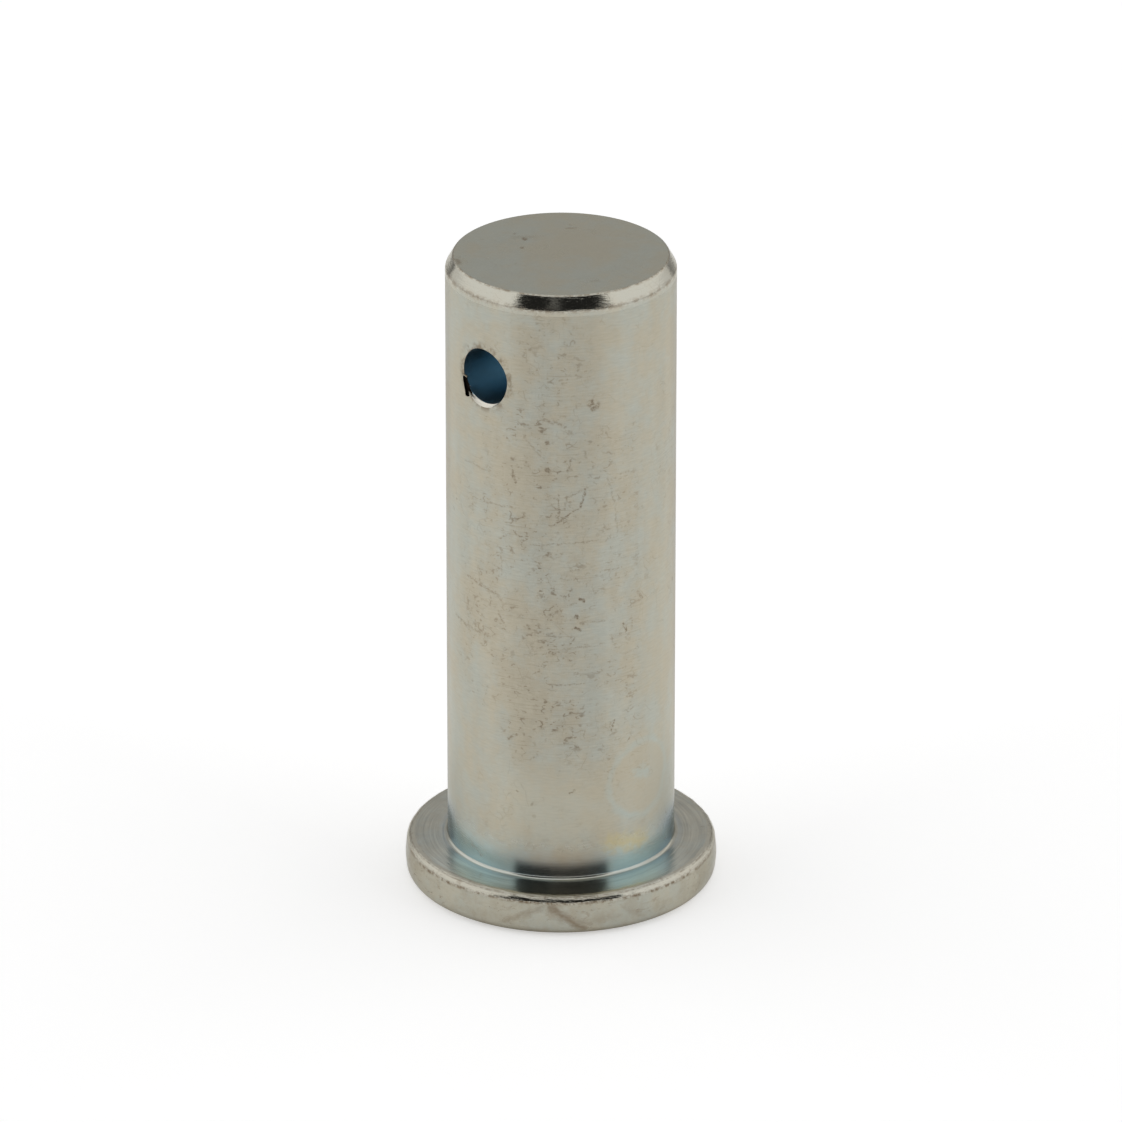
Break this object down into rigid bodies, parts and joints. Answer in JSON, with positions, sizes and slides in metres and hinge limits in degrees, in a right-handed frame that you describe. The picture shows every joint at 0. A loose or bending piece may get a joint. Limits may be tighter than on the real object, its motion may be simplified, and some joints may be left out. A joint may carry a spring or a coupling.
{
  "type": "clevis pin",
  "caption": "Round steel clevis pin with a thin flat head, a chamfered free end and a cross hole for a split pin.",
  "frame": {"origin": "centre of the head's flat outer face, on the shank's axis, which is the face that the pin stands on", "axes": "+Z along the shank from the head to the free end; X along the split-pin hole, with the torn edge at its -X mouth"},
  "size_m": [0.022, 0.022, 0.0471],
  "materials": {
    "zinc_plated_steel": "satin"
  },
  "bodies": {
    "root": {"clevis_pin": "zinc_plated_steel"}
  },
  "joints": []
}
